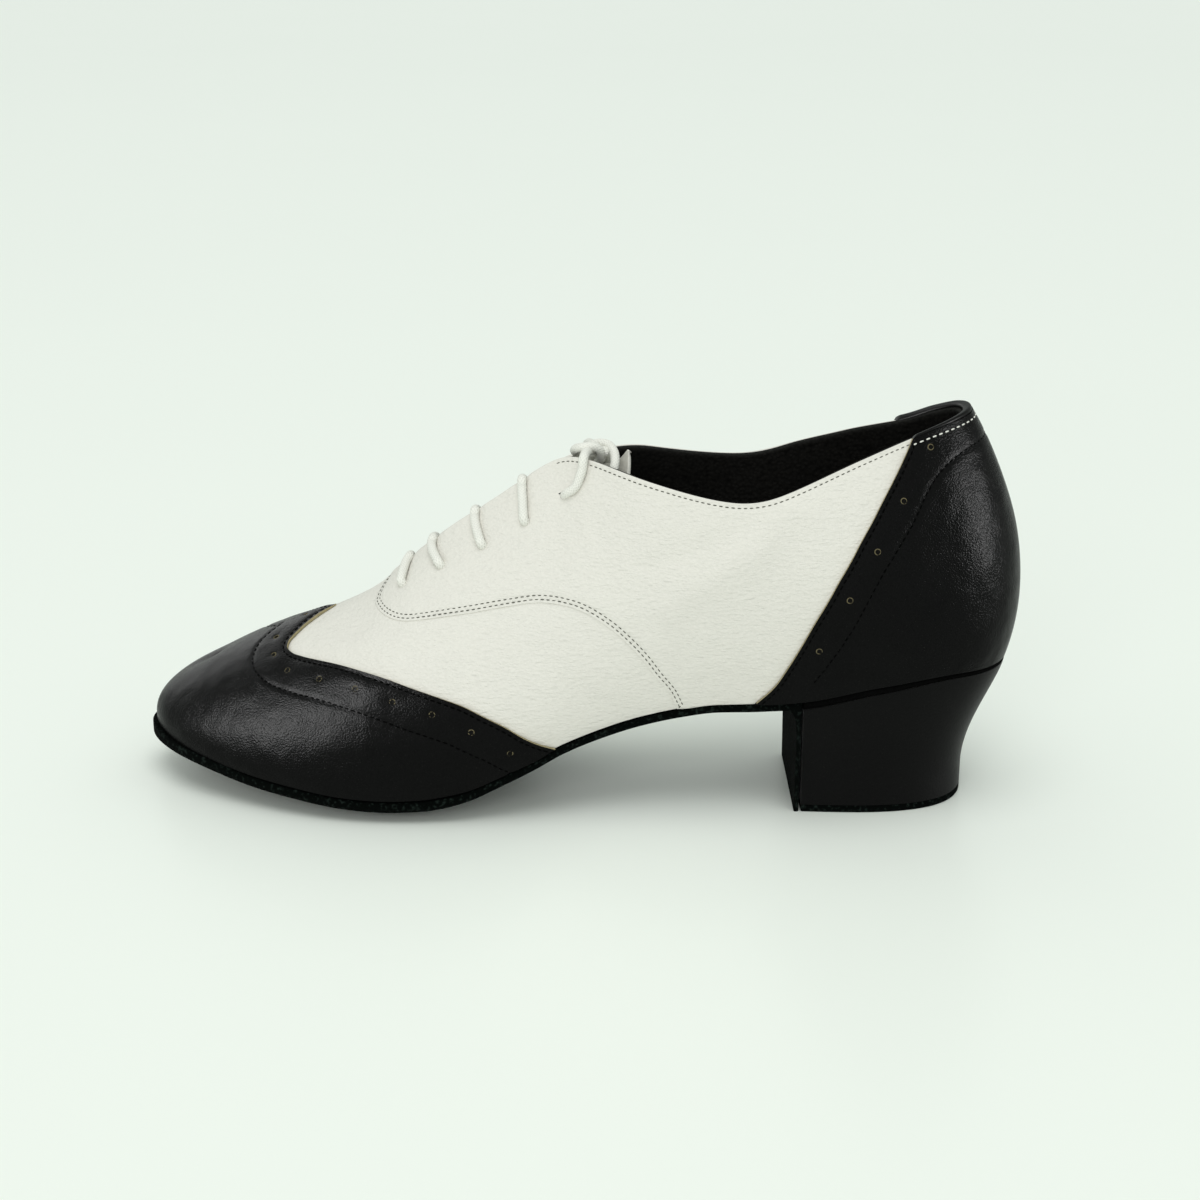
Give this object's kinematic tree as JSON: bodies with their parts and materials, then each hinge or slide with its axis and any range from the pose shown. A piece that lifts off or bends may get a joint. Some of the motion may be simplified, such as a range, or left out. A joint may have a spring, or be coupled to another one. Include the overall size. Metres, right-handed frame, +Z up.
{
  "type": "ballroom dance shoe",
  "caption": "Laced two-tone left dance oxford with a black toe wing and heel counter, white quarters, suede sole and Cuban heel.",
  "frame": {"origin": "middle of the shoe's box on the floor it stands on", "axes": "+X from the toe to the heel along the heel's axis, +Y to the inner side of the foot, +Z up"},
  "size_m": [0.2606, 0.0823, 0.1188],
  "materials": {
    "white_leather": "smooth, fine grain, low sheen",
    "black_leather": "smooth, fine grain, soft sheen",
    "black_suede": "rough nap, no sheen",
    "insole_board": "matt black",
    "white_cotton": "round woven lace, matt"
  },
  "bodies": {
    "root": {"outsole": "black_suede", "heel_block": "black_leather", "heel_top_piece": "black_suede", "heel_seat_rand": "black_leather", "insole": "insole_board", "upper": "white_leather", "toe_wing": "black_leather", "heel_counter": "black_leather", "collar_binding": "black_leather", "tongue": "white_leather", "lace_bar_1": "white_cotton", "lace_bar_2": "white_cotton", "lace_bar_3": "white_cotton", "lace_bar_4": "white_cotton", "lace_run_outer": "white_cotton", "lace_run_inner": "white_cotton", "lace_end_outer": "white_cotton", "lace_end_inner": "white_cotton", "lace_knot": "white_cotton"}
  },
  "joints": []
}
